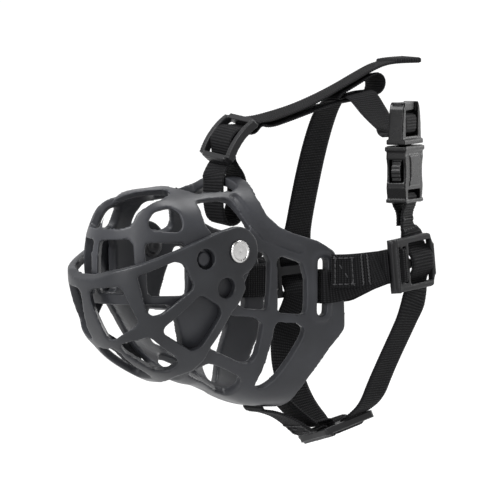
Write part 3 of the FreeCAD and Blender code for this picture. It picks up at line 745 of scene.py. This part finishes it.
def chin_strap():
    across = Vector((0, -1, 0))
    outline = [(52, -75.6), (42, -72.4), (36, -71.9), (34.5, -70.3), (34.5, -63.4),
               (38, -63.0), (45.4, -63.8), (52, -69.6)]
    jaw = [(Vector((x, 0, z)), across) for x, z in outline]
    wrap = rod_wrap(chin_slider)
    stations = [wrap[-1]] + jaw[::-1] + wrap[:5] + [wrap[-1]]
    frames = strap("chin_webbing", stations, "root", "chin_strap")[1]
    stitching("chin_thread", frames, box_stitches(67.5, 76.0, stitch_box), Vector((0, 0, -1)))


def collar_near():
    rows = [(-36.0, -1.0), (-29.8, -1.0), (-26.4, -3.3), (-21.6, -3.3), (-21.6, 2.75),
            (-26.4, 2.75), (-29.8, 1.0), (-36.0, 0.9)]
    stations = [(buckle.at(0, y, z), buckle.x) for y, z in rows]
    stations += weave(near_slider, collar_x, 2.5, 8.3, 13.0)
    throat = [(91.5, -41.5, -27.0), (90.0, -37.0, -36.0), (88.5, -31.0, -46.5),
              (87.5, -24.0, -58.0), (86.6, -18.6, -68.5)]
    stations += [(Vector(point), Vector((0.97, 0.1, 0.2))) for point in throat]
    stations += weave(chin_slider, collar_x, 2.5, 8.3, 12.0)[:3]
    stations.append((chin_slider.at(collar_x, 0, strap_over), chin_slider.x))
    frames = strap("collar_webbing_near", stations, "root", "collar_strap_near")[1]
    stitching("collar_thread", frames, box_stitches(31.0, 35.8, stitch_box), buckle.z)


def collar_far():
    stations = [(chin_slider.at(collar_x, 0, strap_over), chin_slider.x)]
    stations += weave(chin_slider, collar_x, 2.5, 8.3, 12.0)[3:]
    rise = [(85.6, 22.0, -81.0), (83.0, 32.0, -71.0), (82.0, 40.0, -56.0), (85.5, 45.0, -40.0)]
    stations += [(Vector(point), Vector((0.97, -0.1, 0.15))) for point in rise]
    stations += weave(far_slider, collar_x, 2.5, 8.3, 13.0)
    crown = [(89.0, 40.5, 6.0), (88.0, 35.0, 20.0), (87.5, 27.0, 41.0), (87.2, 19.0, 57.0),
             (87.3, 13.0, 64.4), (87.5, 7.5, 67.2), (87.6, -5.0, 68.4)]
    stations += [(Vector(point), Vector((1, 0, 0.2))) for point in crown]
    strap("collar_webbing_far", stations, "root", "collar_strap_far")


def collar_upper():
    rows = [(3.6, -6.8), (5.8, -3.0), (5.8, 2.6), (13.4, 2.6), (13.4, -4.8)]
    crown = [(87.6, -5.0, 68.4, 0.0), (87.6, -9.6, 68.2, 0.0), (87.7, -13.2, 65.6, 0.05),
             (87.8, -17.5, 61.8, 0.15), (87.6, -23.0, 57.6, 0.35)]
    stations = [(Vector((x, y, z)), Vector((1, turn, 0.2))) for x, y, z, turn in crown]
    stations += [(buckle.at(0, y, z), buckle.x) for y, z in rows]
    obj = strap("collar_webbing_upper", stations, "buckle_male", "collar_strap_upper")[0]
    obj.parent = None
    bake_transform(obj)


side_strap(near_slider, "left")
side_strap(far_slider, "right")
forehead_strap()
chin_strap()
collar_near()
collar_far()
collar_upper()


# ---- floor, light and camera -------------------------------------------------------------
def stage_and_light():
    floor_height = -0.17
    vertices = []
    faces = []
    # A floor that sweeps up into a backdrop all round. A camera over 6 m out and lower than
    # the sweep is outside it, and sees only its back.
    rings = [(0.0, 0.0), (2.0, 0.0), (5.0, 0.0), (6.2, 0.2), (7.2, 0.9), (7.8, 2.0),
             (8.0, 4.0), (8.0, 8.0)]
    steps = 96
    for radius, height in rings:
        for i in range(steps):
            angle = 2 * math.pi * i / steps
            vertices.append((radius * math.cos(angle), radius * math.sin(angle),
                             floor_height + height))
    for r in range(len(rings) - 1):
        for i in range(steps):
            n = (i + 1) % steps
            faces.append((r * steps + i, r * steps + n, (r + 1) * steps + n,
                          (r + 1) * steps + i))
    paper, _, _, shader = material_base("paper", (0.2, 0.2, 0.2), 0.95)
    shader.inputs["Emission Color"].default_value = (1, 1, 1, 1)
    shader.inputs["Emission Strength"].default_value = 0.89
    floor = piece("floor", vertices, faces, paper)

    world = bpy.context.scene.world or bpy.data.worlds.new("studio")
    bpy.context.scene.world = world
    world.use_nodes = True
    background = world.node_tree.nodes["Background"]
    background.inputs["Color"].default_value = (1, 1, 1, 1)
    background.inputs["Strength"].default_value = 0.32
    bpy.context.scene.view_settings.view_transform = "Standard"


def picture_axes():
    """Right, up and back directions of the main view."""
    azimuth = math.radians(-36.0)
    elevation = math.radians(3.0)
    right = Vector((math.cos(azimuth), math.sin(azimuth), 0))
    up = Vector((-math.sin(azimuth) * math.sin(elevation),
                 math.cos(azimuth) * math.sin(elevation), math.cos(elevation)))
    return right, up, right.cross(up)


def area_light(name, place, size, power):
    """A soft box at (right, up, back) metres from the object, turned to face it."""
    data = bpy.data.lights.new(name, "AREA")
    data.shape = "RECTANGLE"
    data.size, data.size_y = size
    data.energy = power
    obj = bpy.data.objects.new(name, data)
    bpy.context.scene.collection.objects.link(obj)
    location = sum((axis * reach for axis, reach in zip(picture_axes(), place)), Vector())
    obj.location = location
    obj.rotation_euler = (Vector((0.04, 0, 0)) - location).to_track_quat("-Z", "Y").to_euler()


def camera():
    right, up, back = picture_axes()
    target = right * 0.02667 + up * 0.00089
    distance = 6.0
    data = bpy.data.cameras.new("camera")
    data.sensor_width = 36.0
    data.lens = data.sensor_width * distance / 0.2222
    data.clip_start = 0.01
    obj = bpy.data.objects.new("camera", data)
    bpy.context.scene.collection.objects.link(obj)
    turn = Matrix((right, up, back)).transposed().to_4x4()
    obj.matrix_world = Matrix.Translation(target + back * distance) @ turn
    bpy.context.scene.camera = obj


stage_and_light()
area_light("key_light", (-0.8, 1.2, 0.6), (0.45, 0.45), 32.0)
area_light("top_light", (0.4, 1.3, -0.3), (0.5, 0.5), 12.0)
area_light("strip_light", (-0.65, 0.25, 1.2), (0.16, 1.1), 9.0)
area_light("rim_light", (1.2, 0.5, -0.9), (0.3, 0.9), 8.0)
camera()
